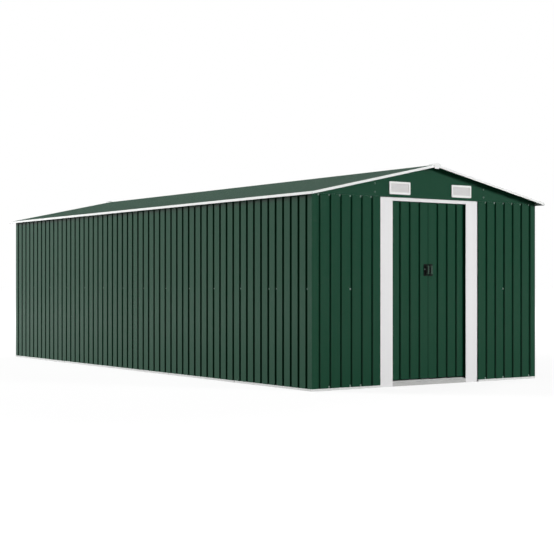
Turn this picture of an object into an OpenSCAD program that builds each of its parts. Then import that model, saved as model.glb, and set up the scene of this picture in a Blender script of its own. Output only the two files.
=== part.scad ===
// Metal storage shed with a low gable roof, ribbed sheet walls, white trims and two sliding doors.
// Millimetres. Front with the doors faces -Y, +Z is up, origin at the middle of the ground outline.

/* [Ribbed sheets] */
// Distance between neighbouring ribs
rib_pitch = 104.5; // [100:0.5:110]
// Width of a rib at the outer face of the sheet
rib_mouth = 28; // [22:1:32]
// Width of a rib at its floor
rib_floor = 14; // [8:1:16]
// How far a rib is pressed inwards
rib_depth = 12; // [9:0.5:13]
// Thickness of wall, roof and door sheet
sheet = 0.6; // [0.5:0.1:0.8]
// Flat left between the edge of a sheet and its nearest rib
rib_edge = 2; // [1.5:0.5:4]
// Distance from a corner of the shed to its first rib
corner_margin = 70; // [60:1:80]

/* [Walls] */
// Ribs along each long side
side_ribs = 54; // [36:9:63]
// Rib positions across the width
width_ribs = 23; // [23:1:25]
// Ribs on one side wall or roof sheet
sheet_ribs = 9; // [9:9:18]
// Ribs on one rear wall sheet
rear_sheet_ribs = 8; // [6:1:8]
// Height of the lower edge of the wall sheets
panel_bottom = 17.5; // [13:0.5:20]
// Height of the upper edge of the wall sheets
wall_top = 1530.5; // [1400:0.5:1700]

/* [Roof] */
// Height of the roof face at its side edges, above the wall sheets
eave_lift = 6; // [5:0.5:12]
// Rise of the roof from its side edges to the ridge line
roof_rise = 271.5; // [240:0.5:300]
// Roof overhang beyond the side walls
eave_overhang = 48; // [40:1:60]
// Roof overhang beyond the end walls
gable_overhang = 74; // [60:1:85]
// Distance from the ridge line to the upper ends of the roof sheets and trims
ridge_gap = 5; // [4:0.5:8]
// Width of the ridge cap
ridge_cap_w = 180; // [140:2:240]
// Distance of the purlins from the middle of the shed
purlin_x = 600; // [500:5:700]
// Depth of a purlin
purlin_depth = 100; // [70:1:105]
// Width of the purlin flanges
purlin_flange = 30; // [20:1:40]
// Width of the ridge beam
ridge_beam_w = 60; // [40:1:80]
// Depth of the ridge beam
ridge_beam_h = 40; // [30:1:60]

/* [Trims] */
// Thickness of the folded trim sheet
trim_t = 0.8; // [0.6:0.1:1.2]
// Height of the visible face of the roof trims
trim_face = 18.5; // [16:0.5:24]
// Width of the trim flange that lies on the roof
trim_flange = 24; // [18:1:36]
// Inward lip under the side trims
trim_lip = 5; // [3:0.5:10]
// Width of the white cap at each end of the ridge
end_cap_w = 90; // [76:1:110]
// Width of the tongue of the white cap
end_tongue_w = 46; // [38:1:60]
// Height of the white cap at each end of the ridge
end_cap_h = 46; // [38:1:54]
// Height of the white cap above the ridge line
end_cap_rise = 12; // [8:0.5:16]
// Length of the white cap along the ridge
end_cap_l = 52; // [44:1:70]
// Thickness of the face of the white cap
end_cap_t = 2.6; // [2:0.1:4]

/* [Base frame] */
// Thickness of the base rails
rail_t = 1.2; // [1:0.1:1.5]
// How far the base rails stand out past the wall face
base_proud = 2; // [1:0.5:4]
// Width of the ground flange of the base rails, inside the wall face
base_flange = 38; // [30:1:38]
// Height of the base rail upstand behind the sheets
base_upstand = 52; // [40:1:60]
// Distance from the front to the first joint in the side base rails
base_joint_first = 1095; // [900:5:1200]
// Distance between joints in the side base rails
base_joint_pitch = 1102; // [1000:2:1110]
// Gap at each joint in the base rails
base_joint_gap = 5; // [2:0.5:8]

/* [Wall rails] */
// Height of the middle of the wall rails
mid_rail_z = 786; // [600:1:900]
// Height of the wall rails
mid_rail_h = 36; // [30:1:50]
// Depth of the side and rear wall rails
mid_rail_d = 25; // [15:1:26]
// Depth of the front wall rails
front_rail_d = 10; // [8:0.5:14]
// Height of the rails under the roof edge
top_rail_h = 50; // [40:1:60]
// Depth of the rails under the roof edge
top_rail_d = 30; // [20:1:30]

/* [Doorway] */
// Clear width between the door jambs
opening_w = 802; // [660:2:940]
// Width of a door jamb
jamb_w = 135; // [120:1:140]
// Setback of the jamb face behind the wall face
jamb_v = 10; // [8:0.5:10.5]
// Depth of the jamb return beside the wall
jamb_return = 18; // [10:1:18]
// Depth of the hem on the doorway edge of a jamb
jamb_hem = 3; // [2:0.5:6]
// Height of the white header over the doors
header_h = 28; // [24:1:32]
// Depth of the header return over the doors
header_return = 16; // [10:1:18]
// Height of the front face of the door sill
sill_face = 30; // [24:1:34]
// Rise of the door sill from its front face to its rear edge
sill_rise = 13; // [8:0.5:16]
// Reach of the door sill behind the front of the track channel
sill_lap = 3; // [2:0.5:4]

/* [Doors] */
// Overlap of a closed door behind its jamb
door_lap = 89; // [70:1:105]
// Setback of the door face behind the wall face
door_v = 34.5; // [34:0.5:36]
// Gap between the door sill and the lower edge of the doors
door_clear = 8.5; // [7:0.5:11]
// Distance of the upper edge of the doors below the wall sheets
door_drop = 23; // [19:0.5:26]
// Gap between the two closed doors
door_gap = 5; // [2:0.5:8]
// Distance from the meeting edge of a door to its first rib
door_rib_first = 96.5; // [90:0.5:105]
// Depth of the folded side edges of a door
door_return = 20; // [12:1:24]
// Depth of the braces on the back of a door
brace_d = 13; // [11:0.5:16]
// Height of the braces on the back of a door
brace_h = 40; // [30:1:50]
// Distance of the braces from the upper and lower edges of a door
brace_inset = 8; // [6:0.5:10]
// Distance of the brace ends from the side edges of a door
brace_end = 4; // [2:0.5:8]
// Distance of the hangers and guides from the door edges
hanger_inset = 75; // [60:1:110]

/* [Door track] */
// Setback of the track channel behind the wall face
track_v = 36; // [34:0.5:37]
// Outer width of the track channel
track_w = 36; // [34:0.5:38]
// Height of the track channel
track_h = 35; // [32:1:35]
// Clearance between the top of a door and the track
track_clear = 5; // [5:0.5:6]
// Width of each lip at the foot of the track channel
track_lip = 7.5; // [7:0.5:8]
// Thickness of a hanger neck and of a floor guide
hanger_t = 8; // [6:0.5:9]
// Length of a hanger neck and of a floor guide
neck_l = 30; // [20:1:36]
// Thickness of the foot of a hanger and of a floor guide
hanger_foot = 2; // [1.5:0.5:3]
// Length of a hanger block
glide_l = 44; // [37:1:60]
// Height of a hanger block
glide_h = 16; // [12:1:20]
// Play between a hanger block and the sides of the track channel
glide_side_play = 3.5; // [2:0.5:4]
// Play under a hanger block on the track lips
glide_play = 0.5; // [0.3:0.1:1]
// Half length of the door track and of the floor track
track_half = 900; // [880:10:1050]
// Height of the floor track
floor_track_h = 24; // [20:1:28]
// Depth to which the floor guides reach below the doors
guide_drop = 36; // [30:1:40]

/* [Handles] */
// Width of a handle plate
handle_w = 40; // [33:1:46]
// Height of a handle plate
handle_h = 100; // [80:1:120]
// Distance from the meeting edge of a door to its handle
handle_inset = 5; // [4:0.5:10]
// Distance of the middle of a grip from the meeting edge of its handle plate
grip_inset = 10.5; // [8:0.5:20]
// Height of the middle of the handles
handle_z = 945; // [800:5:1100]
// Distance of the handle legs from the ends of a handle plate
handle_leg = 20; // [14:1:24]
// Corner radius of a handle plate
handle_radius = 6; // [3:0.5:10]
// How far a handle stands out of its door
handle_reach = 30; // [24:1:32]
// Thickness of a handle grip
handle_grip = 12; // [10:0.5:14]
// Thickness of a handle plate
handle_plate = 3; // [2:0.5:4]

/* [Vents] */
// Width of a vent
vent_w = 221; // [190:1:240]
// Height of a vent
vent_h = 103; // [86:1:112]
// Distance of the middle of a vent from the middle of the gable
vent_x = 337; // [300:1:360]
// Height of the middle of a vent above the lower edge of the gable
vent_lift = 74; // [66:0.5:82]
// Width of a vent border
vent_border = 17; // [12:0.5:20]
// Thickness of a vent border
vent_t = 7; // [5:0.5:10]
// Depth of the vent sleeve inside the gable
vent_sleeve = 9; // [6:0.5:11]
// Wall thickness of the vent sleeve
vent_wall = 2; // [1.5:0.1:3]
// Play around the vent sleeve in the gable
vent_play = 1; // [0.5:0.1:2]
// Corner radius of a vent
vent_radius = 8; // [4:0.5:12]
// Slats in a vent
vent_slats = 7; // [5:1:8]
// Thickness of a vent slat
slat_t = 1.6; // [1.2:0.1:2]
// Depth of a vent slat
slat_d = 14; // [12:0.5:16]
// Setback of the slats behind the face of the vent border
slat_recess = 1; // [0.5:0.5:3]
// Tilt of a vent slat from the vertical
slat_tilt = 26; // [20:1:45]

/* [Fits] */
// Play between pieces that are bolted together
seat = 0.2; // [0.2:0.1:0.4]
// Gap at the seams between neighbouring sheets
seam = 0.5; // [0.3:0.1:0.8]

/* [Hidden] */
$fn = 48;
wall_w = (width_ribs - 1) * rib_pitch + 2 * corner_margin;
wall_l = (side_ribs - 1) * rib_pitch + 2 * corner_margin;
roof_w = wall_w + 2 * eave_overhang;
roof_l = wall_l + 2 * gable_overhang;
half_w = roof_w / 2;
eave_z = wall_top + eave_lift;
ridge_z = eave_z + roof_rise;
slope = atan(roof_rise / half_w);
fall = tan(slope);
rib_lean = atan(2 * rib_depth / (rib_mouth - rib_floor));
rib_shift = sheet * tan(rib_lean / 2);
back_v = rib_depth + sheet;
rail_v = back_v + seat;
corner_leg = corner_margin - rib_mouth / 2 - rib_edge;
jamb_outer = opening_w / 2 + jamb_w;
front_run = wall_w / 2 - jamb_outer;
rib_half = rib_mouth / 2 + rib_edge;
front_side_ribs = floor((front_run - corner_margin - rib_half) / rib_pitch) + 1;
door_w = opening_w / 2 + door_lap - door_gap / 2;
door_ribs = floor((door_w - door_rib_first - rib_half) / rib_pitch) + 1;
sill_top = sill_face + sill_rise;
door_bottom = sill_top + door_clear;
door_top = wall_top - door_drop;
flange_v = trim_t + seat;
gable_bottom = wall_top + seam;
gable_drop = (sheet + seat) / cos(slope);
vent_z = gable_bottom + vent_lift;
vent_inner_w = vent_w - 2 * vent_border;
vent_inner_h = vent_h - 2 * vent_border;
vent_hole_w = vent_inner_w + 2 * (vent_wall + vent_play);
vent_hole_h = vent_inner_h + 2 * (vent_wall + vent_play);
mid_rail_low = mid_rail_z - mid_rail_h / 2;
track_z = door_top + track_clear;
track_top = track_z + track_h;
brace_v = door_v + back_v + seat;
brace_top_z = door_top - brace_inset;
brace_low_z = door_bottom + brace_inset;
hanger_v = track_v + (track_w - hanger_t) / 2;
sill_end = track_v + sill_lap;
floor_track_v = sill_end + seam;
floor_track_w = 2 * (hanger_v + hanger_t / 2 - floor_track_v);
over = 1;
green = [0.13, 0.27, 0.20];
white = [0.90, 0.91, 0.90];
zinc = [0.62, 0.64, 0.64];
black = [0.06, 0.06, 0.06];

// Height of the underside of the roof ribs at distance x from the ridge
function roof_under(x) = ridge_z - x * fall - (back_v + seat) / cos(slope);

// Corner points of the ribs, on the outer face and on the inner face
function rib_outer(c) = [
    [c - rib_mouth / 2, 0],
    [c - rib_floor / 2, rib_depth],
    [c + rib_floor / 2, rib_depth],
    [c + rib_mouth / 2, 0]
];
function rib_inner(c) = [
    [c - rib_mouth / 2 - rib_shift, sheet],
    [c - rib_floor / 2 - rib_shift, rib_depth + sheet],
    [c + rib_floor / 2 + rib_shift, rib_depth + sheet],
    [c + rib_mouth / 2 + rib_shift, sheet]
];
function backwards(list) = [for (i = [len(list) - 1 : -1 : 0]) list[i]];

// Cross-section of a ribbed sheet from a to b, with optional folded edges
module rib_section(a, b, ribs, fold_a = 0, fold_b = 0) {
    outer = concat(
        fold_a > 0 ? [[a, fold_a], [a, 0]] : [[a, 0]],
        [for (c = ribs) each rib_outer(c)],
        fold_b > 0 ? [[b, 0], [b, fold_b]] : [[b, 0]]
    );
    inner = concat(
        fold_a > 0 ? [[a + sheet, fold_a], [a + sheet, sheet]] : [[a, sheet]],
        [for (c = ribs) each rib_inner(c)],
        fold_b > 0 ? [[b - sheet, sheet], [b - sheet, fold_b]] : [[b, sheet]]
    );
    polygon(concat(outer, backwards(inner)));
}

// A row of ribbed sheets from a to b, with the first rib at c0, split every per ribs
module sheet_row(a, b, c0, count, per, height) {
    sheets = ceil(count / per);
    for (i = [0 : sheets - 1]) {
        cut_a = c0 + i * per * rib_pitch - rib_half;
        cut_b = c0 + (i + 1) * per * rib_pitch - rib_half;
        first = i * per;
        last = min(count, first + per) - 1;
        linear_extrude(height)
            rib_section(
                i == 0 ? a : cut_a + seam,
                i == sheets - 1 ? b : cut_b,
                [for (k = [first : last]) c0 + k * rib_pitch]
            );
    }
}

// Wall frames: along the wall, then inwards from the wall face, then up
module on_front() {
    translate([-wall_w / 2, -wall_l / 2, 0]) children();
}
module on_rear() {
    rotate([0, 0, 180]) on_front() children();
}
module on_left() {
    translate([-wall_w / 2, wall_l / 2, 0]) rotate([0, 0, -90]) children();
}
module on_right() {
    rotate([0, 0, 180]) on_left() children();
}

// Roof frame of the right slope: along the roof, then down into the roof, then up the slope
module on_right_slope() {
    translate([half_w, -roof_l / 2, eave_z])
        rotate([0, slope, 0])
            rotate([-90, 0, 90])
                children();
}

// Extrusion of an end-on outline along the length of the shed
module along(length) {
    translate([0, length / 2, 0]) rotate([90, 0, 0]) linear_extrude(length) children();
}

// Base frame
module base_section() {
    polygon([
        [base_flange, 0],
        [-base_proud, 0],
        [-base_proud, panel_bottom - seat],
        [rail_v, panel_bottom - seat],
        [rail_v, base_upstand],
        [rail_v + rail_t, base_upstand],
        [rail_v + rail_t, panel_bottom - seat - rail_t],
        [-base_proud + rail_t, panel_bottom - seat - rail_t],
        [-base_proud + rail_t, rail_t],
        [base_flange, rail_t]
    ]);
}

// Base rail from a to b along a wall
module base_run(a, b) {
    translate([a, 0, 0]) rotate([90, 0, 90]) linear_extrude(b - a) base_section();
}

// Plan outline that mitres a base rail at one or both corners
module mitre_plan(run, square_end = -1) {
    far = base_flange + over;
    near = -base_proud - over;
    linear_extrude(base_upstand + over)
        polygon([
            [near + seat, near],
            [square_end > 0 ? square_end : run - near - seat, near],
            [square_end > 0 ? square_end : run - far - seat, far],
            [far + seat, far]
        ]);
}

module base_side_run() {
    last = wall_l - base_joint_pitch / 2;
    joints = [for (y = [base_joint_first : base_joint_pitch : last]) wall_l - y];
    intersection() {
        difference() {
            base_run(-base_proud, wall_l + base_proud);
            for (u = joints)
                translate([u - base_joint_gap / 2, -base_proud - over, -over])
                    cube([base_joint_gap, base_flange + base_proud + 2 * over, base_upstand + 2 * over]);
        }
        mitre_plan(wall_l);
    }
}

module base_rail_left() {
    color(zinc) on_left() base_side_run();
}

module base_rail_right() {
    color(zinc) mirror([1, 0, 0]) on_left() base_side_run();
}

module base_rail_rear() {
    color(zinc) on_rear() intersection() {
        base_run(-base_proud, wall_w + base_proud);
        mitre_plan(wall_w);
    }
}

module base_rail_front() {
    color(zinc) for (side = [0, 1])
        mirror([side, 0, 0]) on_front() intersection() {
            base_run(-base_proud, front_run - seam);
            mitre_plan(wall_w, front_run - seam);
        }
}

module door_sill() {
    color(zinc)
        translate([-opening_w / 2 + seam, -wall_l / 2, 0])
            rotate([90, 0, 90])
                linear_extrude(opening_w - 2 * seam)
                    polygon([
                        [jamb_v, 0],
                        [jamb_v, sill_face],
                        [sill_end, sill_top],
                        [sill_end, 0],
                        [sill_end - rail_t, 0],
                        [sill_end - rail_t, sill_top - 2 * rail_t],
                        [jamb_v + rail_t, sill_face - rail_t],
                        [jamb_v + rail_t, 0]
                    ]);
}

module floor_track() {
    color(zinc)
        translate([-track_half, -wall_l / 2 + floor_track_v, 0])
            difference() {
                cube([2 * track_half, floor_track_w, floor_track_h]);
                translate([-over, rail_t, rail_t])
                    cube([2 * track_half + 2 * over, floor_track_w - 2 * rail_t, floor_track_h]);
            }
}

// Walls
module side_sheets_row() {
    translate([0, 0, panel_bottom])
        sheet_row(
            corner_leg + seam,
            wall_l - corner_leg - seam,
            corner_margin,
            side_ribs,
            sheet_ribs,
            wall_top - panel_bottom
        );
}

module left_wall_sheets() {
    color(green) on_left() side_sheets_row();
}

module right_wall_sheets() {
    color(green) on_right() side_sheets_row();
}

module rear_wall_sheets() {
    color(green) on_rear()
        translate([0, 0, panel_bottom])
            sheet_row(
                corner_leg + seam,
                wall_w - corner_leg - seam,
                corner_margin,
                width_ribs,
                rear_sheet_ribs,
                wall_top - panel_bottom
            );
}

module front_wall_sheet() {
    on_front()
        translate([0, 0, panel_bottom])
            linear_extrude(wall_top - panel_bottom)
                rib_section(
                    corner_leg + seam,
                    front_run - seam,
                    [for (k = [0 : front_side_ribs - 1]) corner_margin + k * rib_pitch],
                    0,
                    rib_depth
                );
}

module front_wall_left() {
    color(green) front_wall_sheet();
}

module front_wall_right() {
    color(green) mirror([1, 0, 0]) front_wall_sheet();
}

module corner_sheet() {
    translate([-wall_w / 2, -wall_l / 2, panel_bottom])
        linear_extrude(wall_top - panel_bottom)
            polygon([
                [0, 0],
                [corner_leg, 0],
                [corner_leg, sheet],
                [sheet, sheet],
                [sheet, corner_leg],
                [0, corner_leg]
            ]);
}

module corner_front_left() {
    color(green) corner_sheet();
}

module corner_front_right() {
    color(green) mirror([1, 0, 0]) corner_sheet();
}

module corner_rear_left() {
    color(green) mirror([0, 1, 0]) corner_sheet();
}

module corner_rear_right() {
    color(green) rotate([0, 0, 180]) corner_sheet();
}

// Rail with two flanges that point inwards, from a to b along a wall
module wall_rail(a, b, z, height, depth) {
    translate([a, rail_v, z]) {
        cube([b - a, rail_t, height]);
        cube([b - a, depth, rail_t]);
        translate([0, 0, height - rail_t]) cube([b - a, depth, rail_t]);
    }
}

module mid_side_rail() {
    wall_rail(rail_v + rail_t, wall_l - rail_v - rail_t, mid_rail_low, mid_rail_h, mid_rail_d);
}

module left_wall_rail() {
    color(zinc) on_left() mid_side_rail();
}

module right_wall_rail() {
    color(zinc) on_right() mid_side_rail();
}

module rear_wall_rail() {
    inset = rail_v + mid_rail_d + seam;
    color(zinc) on_rear()
        wall_rail(inset, wall_w - inset, mid_rail_low, mid_rail_h, mid_rail_d);
}

module front_wall_rails() {
    inset = rail_v + mid_rail_d + seam;
    color(zinc) for (side = [0, 1])
        mirror([side, 0, 0]) on_front()
            wall_rail(inset, front_run - rail_t - seam, mid_rail_low, mid_rail_h, front_rail_d);
}

module top_side_rail() {
    top = roof_under(wall_w / 2 - rail_v) - seat;
    wall_rail(rail_v + rail_t, wall_l - rail_v - rail_t, top - top_rail_h, top_rail_h, top_rail_d);
}

module left_top_rail() {
    color(zinc) on_left() top_side_rail();
}

module right_top_rail() {
    color(zinc) on_right() top_side_rail();
}

module rear_top_rail() {
    inset = corner_leg + seam;
    color(zinc) on_rear()
        wall_rail(inset, wall_w - inset, track_top - top_rail_h, top_rail_h, top_rail_d);
}

// Front top rail that carries the doors in an open-footed channel
module door_track() {
    inset = corner_leg + seam;
    start = wall_w / 2 - track_half;
    run = 2 * track_half;
    color(zinc) on_front() {
        translate([inset, rail_v, door_top]) cube([wall_w - 2 * inset, rail_t, track_top - door_top]);
        translate([start, 0, 0]) {
            translate([0, rail_v, track_top - rail_t]) cube([run, track_v + track_w - rail_v, rail_t]);
            translate([0, track_v, track_z]) cube([run, rail_t, track_h]);
            translate([0, track_v + track_w - rail_t, track_z]) cube([run, rail_t, track_h]);
            translate([0, track_v, track_z]) cube([run, track_lip, rail_t]);
            translate([0, track_v + track_w - track_lip, track_z]) cube([run, track_lip, rail_t]);
        }
    }
}

// Gables
module gable_half() {
    translate([0, -wall_l / 2 + sheet, 0])
        rotate([90, 0, 0])
            linear_extrude(sheet)
                difference() {
                    polygon([
                        [seam / 2, gable_bottom],
                        [wall_w / 2, gable_bottom],
                        [wall_w / 2, ridge_z - wall_w / 2 * fall - gable_drop],
                        [seam / 2, ridge_z - seam / 2 * fall - gable_drop]
                    ]);
                    translate([vent_x, vent_z])
                        square([vent_hole_w, vent_hole_h], center = true);
                }
}

module front_gable() {
    color(green) for (side = [0, 1]) mirror([side, 0, 0]) gable_half();
}

module rear_gable() {
    color(green) mirror([0, 1, 0]) front_gable();
}

// Roof
module roof_row() {
    on_right_slope()
        translate([0, 0, trim_t + 2 * seat])
            sheet_row(
                trim_t + seat,
                roof_l - trim_t - seat,
                gable_overhang + corner_margin,
                side_ribs,
                sheet_ribs,
                (half_w - ridge_gap) / cos(slope) - trim_t - 2 * seat
            );
}

module right_roof_sheets() {
    color(green) roof_row();
}

module left_roof_sheets() {
    color(green) mirror([1, 0, 0]) roof_row();
}

module right_purlin_bar() {
    run = wall_l - 2 * (sheet + seat);
    foot = (half_w - purlin_x) / cos(slope);
    on_right_slope()
        translate([gable_overhang + sheet + seat, back_v + seat, foot]) {
            cube([run, purlin_depth, rail_t]);
            cube([run, rail_t, purlin_flange]);
            translate([0, purlin_depth - rail_t, 0]) cube([run, rail_t, purlin_flange]);
        }
}

module roof_purlins() {
    color(zinc) {
        right_purlin_bar();
        mirror([1, 0, 0]) right_purlin_bar();
    }
}

module ridge_beam() {
    top = roof_under(ridge_beam_w / 2);
    color(zinc)
        along(wall_l - 2 * (sheet + seat))
            difference() {
                translate([-ridge_beam_w / 2, top - ridge_beam_h])
                    square([ridge_beam_w, ridge_beam_h]);
                translate([-ridge_beam_w / 2 + rail_t, top - ridge_beam_h - over])
                    square([ridge_beam_w - 2 * rail_t, ridge_beam_h + over - rail_t]);
            }
}

module ridge_cap() {
    half = ridge_cap_w / 2;
    low = ridge_z + seat / cos(slope);
    high = low + sheet / cos(slope);
    color(green)
        along(roof_l - 2 * (trim_flange + seam))
            polygon([
                [-half, low - half * fall],
                [0, low],
                [half, low - half * fall],
                [half, high - half * fall],
                [0, high],
                [-half, high - half * fall]
            ]);
}

// Trims
module eave_trim() {
    high = eave_z + flange_v / cos(slope);
    low = high - trim_face;
    skin = trim_t / cos(slope);
    along(roof_l - 2 * (trim_t + seat))
        polygon([
            [half_w, high],
            [half_w - trim_flange, high + trim_flange * fall],
            [half_w - trim_flange, high + trim_flange * fall - skin],
            [half_w - trim_t, high + trim_t * fall - skin],
            [half_w - trim_t, low + trim_t],
            [half_w - trim_lip, low + trim_t],
            [half_w - trim_lip, low],
            [half_w, low]
        ]);
}

module right_eave_trim() {
    color(white) eave_trim();
}

module left_eave_trim() {
    color(white) mirror([1, 0, 0]) eave_trim();
}

module gable_trim() {
    run = (half_w - ridge_gap) / cos(slope);
    start = trim_flange / cos(slope) + seam;
    on_right_slope() {
        translate([0, -flange_v, 0]) cube([trim_t, trim_face, run]);
        translate([0, -flange_v, start]) cube([trim_flange, trim_t, run - start]);
    }
}

module front_gable_trims() {
    color(white) {
        gable_trim();
        mirror([1, 0, 0]) gable_trim();
    }
}

module rear_gable_trims() {
    color(white) mirror([0, 1, 0]) front_gable_trims();
}

module end_cap() {
    half = end_cap_w / 2;
    tongue = end_tongue_w / 2;
    top = ridge_z + end_cap_rise;
    under = ridge_z + (flange_v + 2 * seat) / cos(slope);
    front = -roof_l / 2 - seat - end_cap_t;
    translate([0, front + end_cap_l, 0])
        rotate([90, 0, 0])
            linear_extrude(end_cap_l)
                polygon([
                    [-half, top - half * fall],
                    [0, top],
                    [half, top - half * fall],
                    [half, under - half * fall],
                    [0, under],
                    [-half, under - half * fall]
                ]);
    translate([0, front + end_cap_t, 0])
        rotate([90, 0, 0])
            linear_extrude(end_cap_t)
                polygon([
                    [-half, top - half * fall],
                    [0, top],
                    [half, top - half * fall],
                    [half, under - half * fall],
                    [tongue, under - tongue * fall],
                    [tongue, top - end_cap_h],
                    [-tongue, top - end_cap_h],
                    [-tongue, under - tongue * fall],
                    [-half, under - half * fall]
                ]);
}

module ridge_end_caps() {
    color(white) {
        end_cap();
        mirror([0, 1, 0]) end_cap();
    }
}

// Vents
module rounded_plate(w, h, r) {
    square([w - 2 * r, h], center = true);
    square([w, h - 2 * r], center = true);
    for (x = [-1, 1])
        for (y = [-1, 1])
            translate([x * (w / 2 - r), y * (h / 2 - r)]) circle(r);
}

module vent() {
    step = vent_inner_h / vent_slats;
    slat_w = vent_inner_w + vent_wall;
    slat_top = vent_inner_h + vent_wall;
    translate([vent_x, -wall_l / 2, vent_z]) rotate([90, 0, 0]) {
        translate([0, 0, seat])
            linear_extrude(vent_t)
                difference() {
                    rounded_plate(vent_w, vent_h, vent_radius);
                    square([vent_inner_w, vent_inner_h], center = true);
                }
        translate([0, 0, -vent_sleeve])
            linear_extrude(vent_sleeve + over)
                difference() {
                    square([vent_inner_w + 2 * vent_wall, vent_inner_h + 2 * vent_wall], center = true);
                    square([vent_inner_w, vent_inner_h], center = true);
                }
        intersection() {
            translate([-slat_w / 2, -slat_top / 2, -vent_sleeve])
                cube([slat_w, slat_top, vent_sleeve + vent_t]);
            for (i = [0 : vent_slats - 1])
                translate([-slat_w / 2, -vent_inner_h / 2 + i * step, vent_t - slat_recess])
                    rotate([180 - slat_tilt, 0, 0])
                        translate([0, -slat_d, 0])
                            cube([slat_w, slat_d, slat_t]);
        }
    }
}

module front_vents() {
    color(white) {
        vent();
        mirror([1, 0, 0]) vent();
    }
}

module rear_vents() {
    color(white) mirror([0, 1, 0]) front_vents();
}

// Doorway
module jamb() {
    translate([-jamb_outer, -wall_l / 2 + jamb_v, 0]) {
        cube([jamb_w, trim_t, wall_top]);
        cube([trim_t, jamb_return, door_top - seam]);
        translate([jamb_w - trim_t, 0, 0]) cube([trim_t, jamb_hem, door_top - seam]);
    }
}

module left_jamb() {
    color(white) jamb();
}

module right_jamb() {
    color(white) mirror([1, 0, 0]) jamb();
}

module door_header() {
    run = opening_w - 2 * seam;
    color(white)
        translate([-run / 2, -wall_l / 2 + jamb_v, wall_top - header_h]) {
            cube([run, trim_t, header_h]);
            cube([run, header_return, trim_t]);
        }
}

// Right door, in its closed place
module door_sheet() {
    translate([door_gap / 2, -wall_l / 2 + door_v, door_bottom])
        linear_extrude(door_top - door_bottom)
            rib_section(
                0,
                door_w,
                [for (k = [0 : door_ribs - 1]) door_rib_first + k * rib_pitch],
                door_return,
                door_return
            );
}

module door_brace_bar(z) {
    run = door_w - 2 * brace_end;
    translate([door_gap / 2 + brace_end, -wall_l / 2 + brace_v, z]) {
        translate([0, brace_d - rail_t, 0]) cube([run, rail_t, brace_h]);
        cube([run, brace_d, rail_t]);
        translate([0, 0, brace_h - rail_t]) cube([run, brace_d, rail_t]);
    }
}

module door_brace_set() {
    door_brace_bar(brace_low_z);
    door_brace_bar(mid_rail_z - brace_h / 2);
    door_brace_bar(brace_top_z - brace_h);
}

module hanger() {
    glide_v = hanger_v + hanger_t / 2;
    glide_w = track_w - 2 * rail_t - 2 * glide_side_play;
    block_z = track_z + rail_t + glide_play;
    foot_z = brace_top_z + seat;
    translate([-glide_l / 2, brace_v, foot_z]) cube([glide_l, brace_d, hanger_foot]);
    translate([-neck_l / 2, hanger_v, foot_z]) cube([neck_l, hanger_t, block_z + over - foot_z]);
    translate([-glide_l / 2, glide_v - glide_w / 2, block_z]) cube([glide_l, glide_w, glide_h]);
}

module floor_guide() {
    foot_top = brace_low_z - seat;
    low = door_bottom - guide_drop;
    translate([-glide_l / 2, brace_v, foot_top - hanger_foot]) cube([glide_l, brace_d, hanger_foot]);
    translate([-neck_l / 2, hanger_v, low]) cube([neck_l, hanger_t, foot_top - low]);
}

module door_runner_set() {
    for (x = [hanger_inset, door_w - hanger_inset])
        translate([door_gap / 2 + x, -wall_l / 2, 0]) {
            hanger();
            floor_guide();
        }
}

module handle() {
    reach = handle_reach - handle_grip / 2;
    leg = handle_h / 2 - handle_leg;
    translate([door_gap / 2 + handle_inset, -wall_l / 2 + door_v - seat, handle_z]) {
        translate([handle_w / 2, 0, 0])
            rotate([90, 0, 0])
                linear_extrude(handle_plate)
                    rounded_plate(handle_w, handle_h, handle_radius);
        translate([grip_inset, 0, 0]) {
            for (z = [-leg, leg])
                translate([0, 0, z]) {
                    rotate([90, 0, 0]) cylinder(d = handle_grip, h = reach);
                    translate([0, -reach, 0]) sphere(d = handle_grip);
                }
            translate([0, -reach, -leg]) cylinder(d = handle_grip, h = 2 * leg);
        }
    }
}

module right_door_sheet() {
    color(green) door_sheet();
}

module right_door_braces() {
    color(zinc) door_brace_set();
}

module right_door_runners() {
    color(black) door_runner_set();
}

module right_door_handle() {
    color(black) handle();
}

module left_door_sheet() {
    color(green) mirror([1, 0, 0]) door_sheet();
}

module left_door_braces() {
    color(zinc) mirror([1, 0, 0]) door_brace_set();
}

module left_door_runners() {
    color(black) mirror([1, 0, 0]) door_runner_set();
}

module left_door_handle() {
    color(black) mirror([1, 0, 0]) handle();
}

base_rail_left();
base_rail_right();
base_rail_rear();
base_rail_front();
door_sill();
floor_track();
left_wall_sheets();
right_wall_sheets();
rear_wall_sheets();
front_wall_left();
front_wall_right();
corner_front_left();
corner_front_right();
corner_rear_left();
corner_rear_right();
left_wall_rail();
right_wall_rail();
rear_wall_rail();
front_wall_rails();
left_top_rail();
right_top_rail();
rear_top_rail();
door_track();
front_gable();
rear_gable();
left_roof_sheets();
right_roof_sheets();
roof_purlins();
ridge_beam();
ridge_cap();
left_eave_trim();
right_eave_trim();
front_gable_trims();
rear_gable_trims();
ridge_end_caps();
front_vents();
rear_vents();
left_jamb();
right_jamb();
door_header();
left_door_sheet();
left_door_braces();
left_door_runners();
left_door_handle();
right_door_sheet();
right_door_braces();
right_door_runners();
right_door_handle();
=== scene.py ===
# %% [markdown]
# # A green metal storage shed
#
# The shed is a kit of thin pressed sheets bolted to folded rails. Its shapes come from the
# construction model, which is loaded here as a fixed frame. This lesson gives every surface its
# finish, adds the bolts that hold the sheets, and sets up a soft studio around it. The Standard
# view transform keeps white paint white.

# %% Load the frame
import math

import bmesh
import bpy
from mathutils import Matrix, Vector


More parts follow.
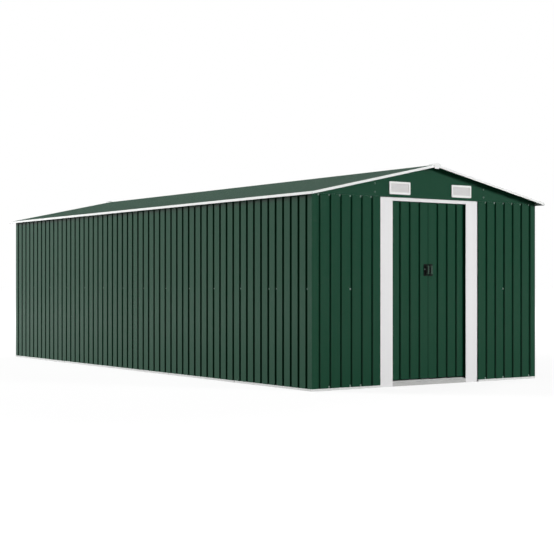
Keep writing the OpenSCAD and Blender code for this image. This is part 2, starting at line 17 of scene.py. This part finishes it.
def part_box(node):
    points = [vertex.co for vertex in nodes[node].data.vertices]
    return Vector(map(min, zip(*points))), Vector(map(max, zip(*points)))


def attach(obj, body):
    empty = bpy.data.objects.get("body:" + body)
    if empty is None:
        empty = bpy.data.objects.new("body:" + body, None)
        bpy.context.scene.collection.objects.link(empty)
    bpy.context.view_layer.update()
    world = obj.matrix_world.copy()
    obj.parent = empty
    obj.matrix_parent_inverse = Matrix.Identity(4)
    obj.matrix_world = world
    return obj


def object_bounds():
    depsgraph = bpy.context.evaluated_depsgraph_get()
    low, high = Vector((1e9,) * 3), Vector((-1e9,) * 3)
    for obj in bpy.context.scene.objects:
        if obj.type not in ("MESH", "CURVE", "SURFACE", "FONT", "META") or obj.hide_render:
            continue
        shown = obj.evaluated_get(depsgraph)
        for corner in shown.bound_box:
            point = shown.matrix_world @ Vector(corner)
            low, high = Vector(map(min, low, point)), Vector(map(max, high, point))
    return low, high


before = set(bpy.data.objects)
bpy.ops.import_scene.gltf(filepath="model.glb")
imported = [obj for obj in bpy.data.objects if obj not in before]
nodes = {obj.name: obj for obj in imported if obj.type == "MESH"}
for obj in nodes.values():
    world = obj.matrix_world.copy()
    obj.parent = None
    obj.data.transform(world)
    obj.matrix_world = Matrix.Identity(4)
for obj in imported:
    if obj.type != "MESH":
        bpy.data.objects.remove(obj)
cad_low, cad_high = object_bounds()
scene = bpy.context.scene
scene.view_settings.view_transform = "Standard"
print("loaded", len(nodes), "pieces, size", [round(v, 3) for v in cad_high - cad_low])

# %% [markdown]
# ## The camera
#
# The picture looks at the front left corner from a standing distance, with the camera level, so
# every upright stays upright. A tilted camera would make the walls lean together. The horizon lies
# a few pixels under the middle of the frame, and a small lens shift puts it there without tilting.

# %% Camera
PHOTO_SIDE = 554
FOCAL_PIXELS = 1265.8
HORIZON_ROW = 284.03
SENSOR_MM = 36.0
VIEW_DEPTH = 400
CAMERA_PLACE = Vector((-6.9997, -10.6926, 0.829))
CAMERA_TURN = math.radians(34.7827)

lens = bpy.data.cameras.new("camera")
lens.sensor_width = SENSOR_MM
lens.lens = FOCAL_PIXELS / PHOTO_SIDE * SENSOR_MM
lens.shift_y = (HORIZON_ROW - PHOTO_SIDE / 2) / PHOTO_SIDE
lens.clip_end = VIEW_DEPTH
camera = bpy.data.objects.new("camera", lens)
camera.location = CAMERA_PLACE
camera.rotation_euler = (math.radians(90), 0, -CAMERA_TURN)
scene.collection.objects.link(camera)
scene.camera = camera
print("lens", round(lens.lens, 2), "mm, shift", round(lens.shift_y, 4))

# %% [markdown]
# ## The studio
#
# A product picture like this is lit by large soft boxes on several sides, with the room behind the
# camera left darker. That is why the flanks of the ribs that face the camera are dark, while the
# flats are even. One box stands to the right of the front, a second one to the left and behind, a
# weaker one lights the right side, and the last one hangs above. A single strong lamp would give
# one bright wall and one black wall. The boxes aren't mirrored in the paint, because the world
# below gives the reflections.

# %% Soft boxes
MIDDLE = (cad_low + cad_high) / 2
FRONT = (0, -1, 0)
LEFT = (-1, 0, 0)
RIGHT = (1, 0, 0)
REAR = (0, 1, 0)
UP = (0, 0, 1)


def soft_box(name, direction, distance, size, level, facing):
    """A square lamp that gives a white surface facing along `facing` the brightness `level`."""
    way = Vector(direction).normalized()
    lamp = bpy.data.lights.new(name, "AREA")
    lamp.shape = "SQUARE"
    lamp.size = size
    lamp.energy = level * math.pi ** 2 * distance ** 2 / way.dot(Vector(facing))
    box = bpy.data.objects.new(name, lamp)
    box.location = MIDDLE + way * distance
    box.rotation_euler = (-way).to_track_quat("-Z", "Y").to_euler()
    box.visible_glossy = False
    scene.collection.objects.link(box)
    print(name, round(lamp.energy), "W")


soft_box("front_right_box", (0.55, -1.0, 0.2), distance=34, size=7, level=0.77, facing=FRONT)
soft_box("rear_left_box", (-1.0, 1.0, 0.5), distance=34, size=11, level=0.85, facing=LEFT)
soft_box("right_box", (1.0, 0.35, 0.5), distance=34, size=11, level=0.45, facing=RIGHT)
soft_box("overhead_box", (-0.1, -0.1, 1.0), distance=24, size=14, level=0.12, facing=UP)

# %% [markdown]
# ## Building node trees
#
# Every finish below is a tree of shader nodes. A tree could be clicked together in the editor, but
# in a script a small helper that adds a node and fills its inputs keeps each step on one line.

# %% Node helpers
def add_node(tree, kind, inputs=None, **settings):
    """Adds a node, sets its properties, and fills or links its inputs by name or number."""
    node = tree.nodes.new(kind)
    for key, value in settings.items():
        setattr(node, key, value)
    for key, value in (inputs or {}).items():
        if isinstance(value, bpy.types.NodeSocket):
            tree.links.new(value, node.inputs[key])
        else:
            node.inputs[key].default_value = value
    return node


def math_node(tree, operation, *values):
    """The result of a Math node."""
    return add_node(tree, "ShaderNodeMath", dict(enumerate(values)), operation=operation).outputs[0]


def map_range(tree, value, start, end, low, high):
    """A value that runs from low to high while `value` runs from start to end."""
    inputs = {"Value": value, 1: start, 2: end, 3: low, 4: high}
    return add_node(tree, "ShaderNodeMapRange", inputs).outputs["Result"]


def new_material(name):
    """An empty material and its node tree."""
    material = bpy.data.materials.new(name)
    material.use_nodes = True
    material.node_tree.nodes.clear()
    return material, material.node_tree


print("helpers ready")

# %% [markdown]
# ## The surroundings
#
# The backdrop is white. The world shows pure white to the camera, gives a low light from the left
# to all surfaces, and is mirrored by glossy surfaces as a white room that gets dimmer behind the
# camera and straight behind the shed. The Light Path node tells these three kinds of rays apart.
# One plain white world would be simpler, but then the flanks of the ribs would mirror white as
# well, and the grooves would look flat.

# %% World
WHITE = (1, 1, 1, 1)
AMBIENT_PEAK = 0.5
AMBIENT_SIDE = Vector((-0.996, 0.087, 0.0))
MIRROR_SIDE = Vector((0.62, 0.78, 0.0))
MIRROR_DARK_AT = -0.60
MIRROR_FULL_AT = 0.20
REAR_MIRROR = 0.84
REAR_STARTS = 0.80
REAR_FULL_AT = 0.95


def level_along(tree, way, side, start, end, low, high):
    """A level that runs from low to high while the direction `way` turns towards `side`."""
    place = add_node(tree, "ShaderNodeVectorMath", {0: way, 1: side}, operation="DOT_PRODUCT")
    return map_range(tree, place.outputs["Value"], start, end, low, high)


def white_light(tree, strength):
    """A white background of the given strength."""
    return add_node(tree, "ShaderNodeBackground", {"Color": WHITE, "Strength": strength}).outputs[0]


world = bpy.data.worlds.new("studio")
scene.world = world
world.use_nodes = True
tree = world.node_tree
tree.nodes.clear()
rays = add_node(tree, "ShaderNodeLightPath").outputs
way = add_node(tree, "ShaderNodeTexCoord").outputs["Generated"]
ambient_level = level_along(tree, way, AMBIENT_SIDE, 0.0, 1.0, 0.0, AMBIENT_PEAK)
rear_level = level_along(tree, way, REAR, REAR_STARTS, REAR_FULL_AT, 1.0, REAR_MIRROR)
mirror_level = level_along(tree, way, MIRROR_SIDE, MIRROR_DARK_AT, MIRROR_FULL_AT, 0.0, rear_level)
shiny = math_node(tree, "MAXIMUM", rays["Is Glossy Ray"], rays["Is Transmission Ray"])
lights = {0: shiny, 1: white_light(tree, ambient_level), 2: white_light(tree, mirror_level)}
lit = add_node(tree, "ShaderNodeMixShader", lights).outputs[0]
views = {0: rays["Is Camera Ray"], 1: lit, 2: white_light(tree, 1.0)}
seen = add_node(tree, "ShaderNodeMixShader", views).outputs[0]
add_node(tree, "ShaderNodeOutputWorld", {"Surface": seen})
print("world: ambient up to", AMBIENT_PEAK, "mirrored up to 1.0")

# %% [markdown]
# ## The floor
#
# The floor is a plain pale sheet that keeps the soft shadow along the base frame. For the camera it
# also glows, a little more far away than near, so that it meets the white backdrop without a
# visible horizon. A backdrop sheet curved up behind the shed does the same in a real studio, but it
# would need its own lamps. The shiny walls mirror the floor too, and the floor before the front is
# darker in that mirror than the floor beside the long wall. The glow stops inside the walls, so
# that an open door shows a dark room.

# %% Floor finish
FLOOR_TONE = 0.36
FLOOR_SEEN_TONE = 0.14
FLOOR_GLOW_NEAR = 0.88
FLOOR_GLOW_FAR = 1.0
GLOW_RISE = (5.0, 14.0)
FRONT_MIRROR = 0.20
SIDE_MIRROR = 0.48
MIRROR_TURN = (-3.3, -2.7)
INSIDE_MARGIN = 0.02
wall_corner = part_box("corner_rear_right")[1]


def past_wall(tree, value, half):
    """1 where a floor coordinate lies outside the walls."""
    return math_node(tree, "GREATER_THAN", math_node(tree, "ABSOLUTE", value), half - INSIDE_MARGIN)


floor_paint, tree = new_material("studio_floor")
rays = add_node(tree, "ShaderNodeLightPath").outputs
here = add_node(tree, "ShaderNodeNewGeometry").outputs["Position"]
flat = add_node(tree, "ShaderNodeSeparateXYZ", {0: here}).outputs
away = add_node(tree, "ShaderNodeVectorMath", {0: here}, operation="LENGTH").outputs["Value"]
tone = map_range(tree, rays["Is Camera Ray"], 0.0, 1.0, FLOOR_TONE, FLOOR_SEEN_TONE)
seen_glow = map_range(tree, away, *GLOW_RISE, FLOOR_GLOW_NEAR, FLOOR_GLOW_FAR)
mirror_glow = map_range(tree, flat["Y"], *MIRROR_TURN, FRONT_MIRROR, SIDE_MIRROR)
mirrored = math_node(tree, "MULTIPLY", rays["Is Glossy Ray"], mirror_glow)
lift = math_node(tree, "MULTIPLY_ADD", rays["Is Camera Ray"], seen_glow, mirrored)
beyond = [past_wall(tree, flat["X"], wall_corner.x), past_wall(tree, flat["Y"], wall_corner.y)]
strength = math_node(tree, "MULTIPLY", lift, math_node(tree, "MAXIMUM", *beyond))
matt = add_node(tree, "ShaderNodeBsdfDiffuse", {"Color": tone}).outputs[0]
glow = add_node(tree, "ShaderNodeEmission", {"Color": WHITE, "Strength": strength}).outputs[0]
both = add_node(tree, "ShaderNodeAddShader", {0: matt, 1: glow}).outputs[0]
add_node(tree, "ShaderNodeOutputMaterial", {"Surface": both})
print("floor glow", FLOOR_GLOW_NEAR, "to", FLOOR_GLOW_FAR)

# %% [markdown]
# The sheet itself is a grid far larger than the picture; a plane with one face would do too. It
# lies at the lowest point of the frame.

# %% Floor sheet
FLOOR_HALF = 150.0
FLOOR_CELLS = 8

bm = bmesh.new()
bmesh.ops.create_grid(bm, x_segments=FLOOR_CELLS, y_segments=FLOOR_CELLS, size=FLOOR_HALF)
floor_mesh = bpy.data.meshes.new("floor")
bm.to_mesh(floor_mesh)
bm.free()
floor_mesh.materials.append(floor_paint)
floor = bpy.data.objects.new("floor", floor_mesh)
floor.location.z = cad_low.z
scene.collection.objects.link(floor)
print("floor at height", round(floor.location.z, 4))

# %% [markdown]
# ## The baked coat
#
# Coated sheet is never perfectly even: the colour drifts a little from sheet to sheet and along it,
# and baked paint has a fine dimpled skin. These effects are one node group, so the green and the
# white finish share them with their own values. Object coordinates are metres here, so the scales
# are real sizes: the drift is about a metre wide, the specks about 2 cm and the dimples about a
# millimetre.

# %% Node group for the coat
DRIFT_SCALE = 0.9
SPECK_SCALE = 60.0
SKIN_SCALE = 700.0


def new_group(name, inputs, outputs):
    """A shader node group with its sockets, plus its input and output nodes."""
    group = bpy.data.node_groups.new(name, "ShaderNodeTree")
    for label, kind, value in inputs:
        socket = group.interface.new_socket(label, in_out="INPUT", socket_type=kind)
        socket.default_value = value
    for label, kind in outputs:
        group.interface.new_socket(label, in_out="OUTPUT", socket_type=kind)
    start = group.nodes.new("NodeGroupInput")
    end = group.nodes.new("NodeGroupOutput")
    return group, start.outputs, end.inputs


def noise(tree, place, scale, detail):
    """A smooth random value between 0 and 1."""
    inputs = {"Vector": place, "Scale": scale, "Detail": detail}
    return add_node(tree, "ShaderNodeTexNoise", inputs).outputs[0]


def make_coat_group():
    """A colour and a roughness that drift together, and the height of the paint's skin."""
    group, start, end = new_group(
        "baked_coat",
        [
            ("Color", "NodeSocketColor", (0.5, 0.5, 0.5, 1)),
            ("Drift", "NodeSocketFloat", 0.05),
            ("Roughness", "NodeSocketFloat", 0.4),
        ],
        [("Color", "NodeSocketColor"), ("Roughness", "NodeSocketFloat"), ("Height", "NodeSocketFloat")],
    )
    place = add_node(group, "ShaderNodeTexCoord").outputs["Object"]
    wide = noise(group, place, DRIFT_SCALE, detail=3.0)
    fine = noise(group, place, SPECK_SCALE, detail=2.0)
    skin = noise(group, place, SKIN_SCALE, detail=1.0)
    centred = math_node(group, "SUBTRACT", math_node(group, "ADD", wide, fine), 1.0)
    factor = math_node(group, "MULTIPLY_ADD", centred, start["Drift"], 1.0)
    tinted = {0: start["Color"], "Scale": factor}
    color = add_node(group, "ShaderNodeVectorMath", tinted, operation="SCALE").outputs[0]
    group.links.new(color, end["Color"])
    group.links.new(math_node(group, "MULTIPLY", start["Roughness"], factor), end["Roughness"])
    group.links.new(skin, end["Height"])
    return group


coat_group = make_coat_group()
print("group", coat_group.name)

# %% [markdown]
# ## Two tones in one piece
#
# Few pieces have one tone. Shade is painted deep in the ribs and behind the slats, the sill is
# painted lighter along its upper edge and shaded on its face, and the grips carry a painted
# highlight. A second piece or a painted map could show that, but the depth along one axis tells the
# two tones apart by itself. This group turns the depth into a factor and a colour.

# %% Node group for the depth
def make_depth_group():
    """A depth from 0 in front to 1 behind, along one axis counted from the middle, and its colour."""
    group, start, end = new_group(
        "depth_shade",
        [
            ("Axis", "NodeSocketVector", (1, 0, 0)),
            ("Front", "NodeSocketFloat", 1.0),
            ("Back", "NodeSocketFloat", 0.9),
            ("Color", "NodeSocketColor", (0.5, 0.5, 0.5, 1)),
            ("Deep Color", "NodeSocketColor", (0.1, 0.1, 0.1, 1)),
        ],
        [("Color", "NodeSocketColor"), ("Depth", "NodeSocketFloat")],
    )
    place = add_node(group, "ShaderNodeTexCoord").outputs["Object"]
    along = add_node(group, "ShaderNodeVectorMath", {0: place, 1: start["Axis"]}, operation="DOT_PRODUCT")
    reach = math_node(group, "ABSOLUTE", along.outputs["Value"])
    deep = map_range(group, reach, start["Front"], start["Back"], 0.0, 1.0)
    tones = {0: deep, 6: start["Color"], 7: start["Deep Color"]}
    color = add_node(group, "ShaderNodeMix", tones, data_type="RGBA").outputs[2]
    group.links.new(color, end["Color"])
    group.links.new(deep, end["Depth"])
    return group


depth_group = make_depth_group()


def depth_color(tree, axis, front, back, color, deep_color):
    """The colour that changes with the depth along one axis, and the depth itself."""
    inputs = {"Axis": axis, "Front": front, "Back": back, "Color": color, "Deep Color": deep_color}
    shade = tree.nodes.new("ShaderNodeGroup")
    shade.node_tree = depth_group
    for label, value in inputs.items():
        shade.inputs[label].default_value = value
    return shade.outputs["Color"], shade.outputs["Depth"]


print("group", depth_group.name)

# %% [markdown]
# ## The coated finishes
#
# Green and white sheets are steel with a baked coat. The coat mirrors little straight on and more
# at a shallow angle, which is why the long wall looks paler than the front. The Principled shader
# does that by itself, with a low specular level because the coat is satin. On the long walls the
# gloss comes from the coat layer instead, because its weight can fade out deep in the ribs, which
# are painted darker as painted shade.

# %% Coated sheet
RIB_GLOSS = 0.0
COAT_IOR = 1.33


def coated_sheet(name, color, roughness, specular, drift, dimple, ribs=None):
    """Baked paint on sheet steel: slight drift of tone, satin gloss, fine dimples, painted shade in the
    ribs.
    """
    material, tree = new_material(name)
    coat = tree.nodes.new("ShaderNodeGroup")
    coat.node_tree = coat_group
    coat.inputs["Color"].default_value = color
    coat.inputs["Drift"].default_value = drift
    coat.inputs["Roughness"].default_value = roughness
    bumps = {"Height": coat.outputs["Height"], "Distance": dimple, "Strength": 1.0}
    bump = add_node(tree, "ShaderNodeBump", bumps)
    surface = {
        "Base Color": coat.outputs["Color"],
        "Roughness": coat.outputs["Roughness"],
        "Specular IOR Level": specular,
        "Normal": bump.outputs["Normal"],
    }
    # painted shade: the ribs turn darker with depth and lose the coat's gloss deep inside
    if ribs:
        rib_shade_color, depth = depth_color(tree, *ribs)
        tree.links.new(rib_shade_color, coat.inputs["Color"])
        surface["Coat Weight"] = map_range(tree, depth, 0.0, 1.0, 1.0, RIB_GLOSS)
        surface["Coat Roughness"] = roughness
        surface["Coat IOR"] = COAT_IOR
    paint = add_node(tree, "ShaderNodeBsdfPrincipled", surface)
    add_node(tree, "ShaderNodeOutputMaterial", {"Surface": paint.outputs[0]})
    print("coat", name)
    return material


print("coat layer IOR", COAT_IOR, "and gloss in the ribs", RIB_GLOSS)

# %% [markdown]
# The roof is rougher than the walls, because it is seen at a very shallow angle and would mirror
# the white room. The jambs are a shade greyer than the trims. On the long walls the painted shade
# of the ribs starts just behind the wall's face.

# %% Green and white coats
GREEN = (0.0039, 0.0457, 0.0222, 1)
# painted shade: a darker green deep in the ribs of the long walls
RIB_SHADE_GREEN = (0.0012, 0.026, 0.0105, 1)
TRIM_WHITE = (0.77, 0.78, 0.77, 1)
JAMB_WHITE = (0.745, 0.74, 0.745, 1)
# painted shade in the ribs starts and is full at these depths behind the long walls' face
RIB_SHADE_DEPTHS = (0.0002, 0.0018)
WALL_PAINT = {"roughness": 0.22, "drift": 0.08, "dimple": 0.00003}
ROOF_PAINT = {"roughness": 0.62, "drift": 0.08, "dimple": 0.00004}
WHITE_PAINT = {"roughness": 0.4, "drift": 0.03, "dimple": 0.00004}

rib_shade_depths = [wall_corner.x - depth for depth in RIB_SHADE_DEPTHS]
long_rib_shade = (RIGHT, *rib_shade_depths, GREEN, RIB_SHADE_GREEN)
green_coat = coated_sheet("green_coat", GREEN, specular=0.25, **WALL_PAINT)
side_coat = coated_sheet("side_coat", GREEN, specular=0.0, ribs=long_rib_shade, **WALL_PAINT)
roof_coat = coated_sheet("roof_coat", GREEN, specular=0.15, **ROOF_PAINT)
white_coat = coated_sheet("white_coat", TRIM_WHITE, specular=0.3, **WHITE_PAINT)
jamb_coat = coated_sheet("jamb_coat", JAMB_WHITE, specular=0.3, **WHITE_PAINT)

# %% [markdown]
# ## Galvanised rails
#
# The base frame, the rails and the sill are zinc dipped. Zinc freezes in flat crystals, the
# spangle, and each crystal mirrors a little differently. Voronoi cells about half a centimetre wide
# give every crystal its own tone, where smooth noise would look like clouds. The sill has painted
# light along its upper edge and painted shade on its face below. The long base rails are a darker
# copy of the rail zinc, as painted shade, and the bolts are duller than the rails, most of all on
# the long walls and the gables.

# %% Zinc
SPANGLE_SCALE = 180.0
ROUGHNESS_SPREAD = 0.08
SILL_STEP = (0.033, 0.029)
# painted light on the sill's upper edge and painted shade on its face below
SILL_PAINTED_LIGHT = (1.15, 1.15, 1.15, 1)
SILL_PAINTED_SHADE = (0.67, 0.67, 0.66, 1)
RAIL_TONES = ((0.66, 0.665, 0.66, 1), (0.75, 0.755, 0.75, 1))
# painted shade: a darker copy of the rail zinc for the long base rails
SIDE_SHADE_TONES = ((0.56, 0.565, 0.56, 1), (0.64, 0.645, 0.64, 1))
BOLT_TONES = ((0.25, 0.35, 0.30, 1), (0.33, 0.44, 0.385, 1))
DULL_BOLT_TONES = ((0.13, 0.215, 0.17, 1), (0.18, 0.28, 0.23, 1))
RAIL_METAL = {"roughness": 0.45, "metallic": 0.12}
BOLT_METAL = {"roughness": 0.4, "metallic": 0.2}


def galvanised(name, tones, roughness, metallic, lit_and_shaded=None):
    """Zinc dipped steel with spangle, with painted light above and painted shade below the heights given.
    """
    material, tree = new_material(name)
    place = add_node(tree, "ShaderNodeTexCoord").outputs["Object"]
    cells = add_node(tree, "ShaderNodeTexVoronoi", {"Vector": place, "Scale": SPANGLE_SCALE})
    chance = add_node(tree, "ShaderNodeSeparateColor", {"Color": cells.outputs["Color"]}).outputs
    color = add_node(tree, "ShaderNodeMix", {0: chance[0], 6: tones[0], 7: tones[1]}, data_type="RGBA")
    # painted light above and painted shade below the given heights
    if lit_and_shaded:
        shade, _ = depth_color(tree, UP, *lit_and_shaded)
        layers = {0: 1.0, 6: color.outputs[2], 7: shade}
        color = add_node(tree, "ShaderNodeMix", layers, data_type="RGBA", blend_type="MULTIPLY")
    low, high = roughness - ROUGHNESS_SPREAD, roughness + ROUGHNESS_SPREAD
    surface = {
        "Base Color": color.outputs[2],
        "Roughness": map_range(tree, chance[1], 0.0, 1.0, low, high),
        "Metallic": metallic,
    }
    metal = add_node(tree, "ShaderNodeBsdfPrincipled", surface)
    add_node(tree, "ShaderNodeOutputMaterial", {"Surface": metal.outputs[0]})
    print("zinc", name)
    return material


zinc = galvanised("zinc_rail", RAIL_TONES, **RAIL_METAL)
sill_light_and_shade = (*SILL_STEP, SILL_PAINTED_LIGHT, SILL_PAINTED_SHADE)
sill_zinc = galvanised("sill_zinc", RAIL_TONES, lit_and_shaded=sill_light_and_shade, **RAIL_METAL)
side_shaded_zinc = galvanised("side_shaded_zinc", SIDE_SHADE_TONES, **RAIL_METAL)
bolt_zinc = galvanised("bolt_zinc", BOLT_TONES, **BOLT_METAL)
dull_bolt_zinc = galvanised("dull_bolt_zinc", DULL_BOLT_TONES, **BOLT_METAL)

# %% [markdown]
# ## Moulded plastics
#
# The vents are white plastic and the handles and door runners black plastic, all with the fine
# grain of a spark-eroded mould. The vent slats behind the border carry painted shade, and the grips
# in front of the black plates carry a painted grey highlight. The grain is a bump, because modelling
# it would take millions of faces.

# %% Plastics
GRAIN_SCALE = 900.0
GRAIN_DEPTH = 0.00005
VENT_WHITE = (0.80, 0.80, 0.79, 1)
# painted shade on the vent slats behind the border
SLAT_SHADE_WHITE = (0.55, 0.535, 0.54, 1)
SLAT_SHADE_DEPTHS = (0.0006, 0.0060)
PLATE_BLACK = (0.004, 0.005, 0.0045, 1)
# painted highlight: the grips are grey in front of the black plates
GRIP_HIGHLIGHT_GREY = (0.085, 0.140, 0.110, 1)
PLATE_FRONT_Y = -2.80795
GRIP_STARTS = (0.0015, 0.0005)


def moulded(name, roughness, specular, depth):
    """Injection moulded plastic with a fine grain, and a second tone by depth that paints shade on the vent
    slats and a highlight on the grips.
    """
    material, tree = new_material(name)
    place = add_node(tree, "ShaderNodeTexCoord").outputs["Object"]
    grit = noise(tree, place, GRAIN_SCALE, detail=2.0)
    bump = add_node(tree, "ShaderNodeBump", {"Height": grit, "Distance": GRAIN_DEPTH, "Strength": 1.0})
    color, _ = depth_color(tree, REAR, *depth)
    low, high = roughness - ROUGHNESS_SPREAD, roughness + ROUGHNESS_SPREAD
    surface = {
        "Base Color": color,
        "Roughness": map_range(tree, grit, 0.0, 1.0, low, high),
        "Specular IOR Level": specular,
        "Normal": bump.outputs["Normal"],
    }
    plastic = add_node(tree, "ShaderNodeBsdfPrincipled", surface)
    add_node(tree, "ShaderNodeOutputMaterial", {"Surface": plastic.outputs[0]})
    return material


vent_face = -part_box("front_vents")[0].y
slat_shade_depths = [vent_face - depth for depth in SLAT_SHADE_DEPTHS]
grip_depths = [start - PLATE_FRONT_Y for start in GRIP_STARTS]
vent_shade_tones = (*slat_shade_depths, VENT_WHITE, SLAT_SHADE_WHITE)
white_plastic = moulded("vent_plastic", roughness=0.45, specular=0.4, depth=vent_shade_tones)
grip_highlight_tones = (*grip_depths, GRIP_HIGHLIGHT_GREY, PLATE_BLACK)
black_plastic = moulded("handle_plastic", roughness=0.42, specular=0.12, depth=grip_highlight_tones)
print("vent face at", round(vent_face, 4))

# %% [markdown]
# ## Dressing the frame
#
# Each piece of the frame gets its finish by name, and what isn't named is a zinc rail. One table is
# easier to check than a line for every piece. The pieces themselves stay as they are.

# %% Assign the finishes
finishes = {
    side_coat: ["left_wall_sheets", "right_wall_sheets"],
    green_coat: [
        "rear_wall_sheets", "front_wall_left", "front_wall_right",
        "corner_front_left", "corner_front_right", "corner_rear_left", "corner_rear_right",
        "front_gable", "rear_gable", "left_door_sheet", "right_door_sheet",
    ],
    roof_coat: ["left_roof_sheets", "right_roof_sheets", "ridge_cap"],
    white_coat: [
        "left_eave_trim", "right_eave_trim", "front_gable_trims", "rear_gable_trims", "ridge_end_caps",
    ],
    jamb_coat: ["left_jamb", "right_jamb", "door_header"],
    white_plastic: ["front_vents", "rear_vents"],
    sill_zinc: ["door_sill"],
    side_shaded_zinc: ["base_rail_left", "base_rail_right"],
    black_plastic: ["left_door_runners", "right_door_runners", "left_door_handle", "right_door_handle"],
}
dressed = {name: finish for finish, names in finishes.items() for name in names}
for name, piece in nodes.items():
    piece.data.materials.clear()
    piece.data.materials.append(dressed.get(name, zinc))
print("dressed", len(nodes), "pieces,", len(nodes) - len(dressed), "of them plain zinc")

# %% [markdown]
# ## Bolts
#
# The sheets are held to the rails by dome headed bolts on washers, on the walls each in the floor
# of a rib. Half a sphere would be quicker to add, but it has no washer. A bolt is a turned shape,
# so its profile is spun round its axis, and all bolts of one wall are joined in one mesh.

# %% Bolt shape
BOLT_PROFILE = [
    (0.0082, 0.0), (0.0082, 0.0012), (0.0066, 0.0016), (0.0062, 0.0034), (0.0046, 0.0052), (0.0022, 0.0060),
]
BOLT_SIDES = 16


def add_bolt(bm, place, outward, scale):
    """Adds one bolt whose washer lies at `place` and whose dome points along `outward`."""
    turn = Vector(UP).rotation_difference(Vector(outward)).to_matrix().to_4x4()
    pose = Matrix.Translation(place) @ turn @ Matrix.Scale(scale, 4)
    rings = []
    for radius, height in BOLT_PROFILE:
        ring = []
        for i in range(BOLT_SIDES):
            angle = 2 * math.pi * i / BOLT_SIDES
            point = Vector((radius * math.cos(angle), radius * math.sin(angle), height))
            ring.append(bm.verts.new(pose @ point))
        rings.append(ring)
    for low, high in zip(rings, rings[1:]):
        for i in range(BOLT_SIDES):
            j = (i + 1) % BOLT_SIDES
            bm.faces.new((low[i], low[j], high[j], high[i]))
    bm.faces.new(rings[-1])
    bm.faces.new(reversed(rings[0]))


def bolt_row(name, places, outward, finish=bolt_zinc, body="shed", scale=1.0):
    """A row of bolts joined in one mesh, smooth round the dome."""
    bm = bmesh.new()
    for place in places:
        add_bolt(bm, Vector(place), outward, scale)
    mesh = bpy.data.meshes.new(name)
    bm.to_mesh(mesh)
    bm.free()
    for face in mesh.polygons:
        face.use_smooth = len(face.vertices) == 4
    mesh.materials.append(finish)
    piece = bpy.data.objects.new(name, mesh)
    scene.collection.objects.link(piece)
    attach(piece, body)
    print(name, len(places), "bolts")


print("bolt radius", BOLT_PROFILE[0][0], "height", BOLT_PROFILE[-1][1])

# %% [markdown]
# The front has a bolt at the top of every rib, where the sheet meets the door track, one near the
# middle of each side, and a few at the base rail. The rear repeats the top row and has every fourth
# rib bolted half way up.

# %% Bolts on the front and rear
RIB_PITCH = 0.1045
CORNER_MARGIN = 0.070
RIB_DEPTH = 0.012
BOLT_LIFT = 0.0003
WALL_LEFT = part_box("corner_front_left")[0].x
WALL_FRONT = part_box("corner_front_left")[0].y
RIB_FLOOR_X = WALL_LEFT + RIB_DEPTH - BOLT_LIFT
RIB_FLOOR_Y = WALL_FRONT + RIB_DEPTH - BOLT_LIFT
TOP_ROW_Z = 1.524
MID_ROW_Z = 0.790
BASE_ROW_Z = 0.027
FRONT_RIBS = 6
FRONT_MID_RIB = 3
BASE_RIBS = {1: (1, 3, 4), -1: (0, 3, 5)}
REAR_RIBS = 23
REAR_RUN_STARTS = 1
BOLT_STEP = 4
SIDES = (1, -1)


def rib_x(k):
    """Where rib k of the front or rear lies across the shed."""
    return WALL_LEFT + CORNER_MARGIN + k * RIB_PITCH


def rib_y(k):
    """Where rib k of a long wall lies along the shed."""
    return WALL_FRONT + CORNER_MARGIN + k * RIB_PITCH


front_places = [(s * rib_x(k), RIB_FLOOR_Y, TOP_ROW_Z) for s in SIDES for k in range(FRONT_RIBS)]
front_places += [(s * rib_x(FRONT_MID_RIB), RIB_FLOOR_Y, MID_ROW_Z) for s in SIDES]
front_places += [(s * rib_x(k), RIB_FLOOR_Y, BASE_ROW_Z) for s in SIDES for k in BASE_RIBS[s]]
bolt_row("front_bolts", front_places, FRONT)
rear_places = [(rib_x(k), -RIB_FLOOR_Y, TOP_ROW_Z) for k in range(REAR_RIBS)]
rear_places += [(rib_x(k), -RIB_FLOOR_Y, MID_ROW_Z) for k in range(REAR_RUN_STARTS, REAR_RIBS, BOLT_STEP)]
bolt_row("rear_wall_bolts", rear_places, REAR)

# %% [markdown]
# The long walls are bolted to the wall rail in the first rib, in the fifth and sixth, and from
# there in every fourth one. Each gable has two pairs of bolts beside its vents. The right wall and
# the rear gable mirror the places on the seen sides.

# %% Bolts on the long walls and gables
SIDE_RIBS = 54
FIRST_RIBS = [0, 4]
RUN_STARTS = 5
GABLE_BOLT_X = 0.595
GABLE_ROWS_Z = (1.566, 1.633)

side_ribs = FIRST_RIBS + list(range(RUN_STARTS, SIDE_RIBS, BOLT_STEP))
left_places = [(RIB_FLOOR_X, rib_y(k), MID_ROW_Z) for k in side_ribs]
bolt_row("left_wall_bolts", left_places, LEFT, dull_bolt_zinc)
bolt_row("right_wall_bolts", [(-x, y, z) for x, y, z in left_places], RIGHT, dull_bolt_zinc)
gable_places = [(s * GABLE_BOLT_X, WALL_FRONT - BOLT_LIFT, z) for s in SIDES for z in GABLE_ROWS_Z]
bolt_row("front_gable_bolts", gable_places, FRONT, dull_bolt_zinc)
bolt_row("rear_gable_bolts", [(x, -y, z) for x, y, z in gable_places], REAR, dull_bolt_zinc)

# %% [markdown]
# Each handle plate is held by one small bright screw beside the grip. It is the same turned shape,
# only smaller, and it rides on its door.

# %% Handle screws
SCREW_X = 0.038
SCREW_Y = PLATE_FRONT_Y - BOLT_LIFT
SCREW_Z = 0.951
SCREW_SCALE = 0.62

bolt_row("left_handle_screw", [(-SCREW_X, SCREW_Y, SCREW_Z)], FRONT, bolt_zinc, "left_door", SCREW_SCALE)
bolt_row("right_handle_screw", [(SCREW_X, SCREW_Y, SCREW_Z)], FRONT, bolt_zinc, "right_door", SCREW_SCALE)
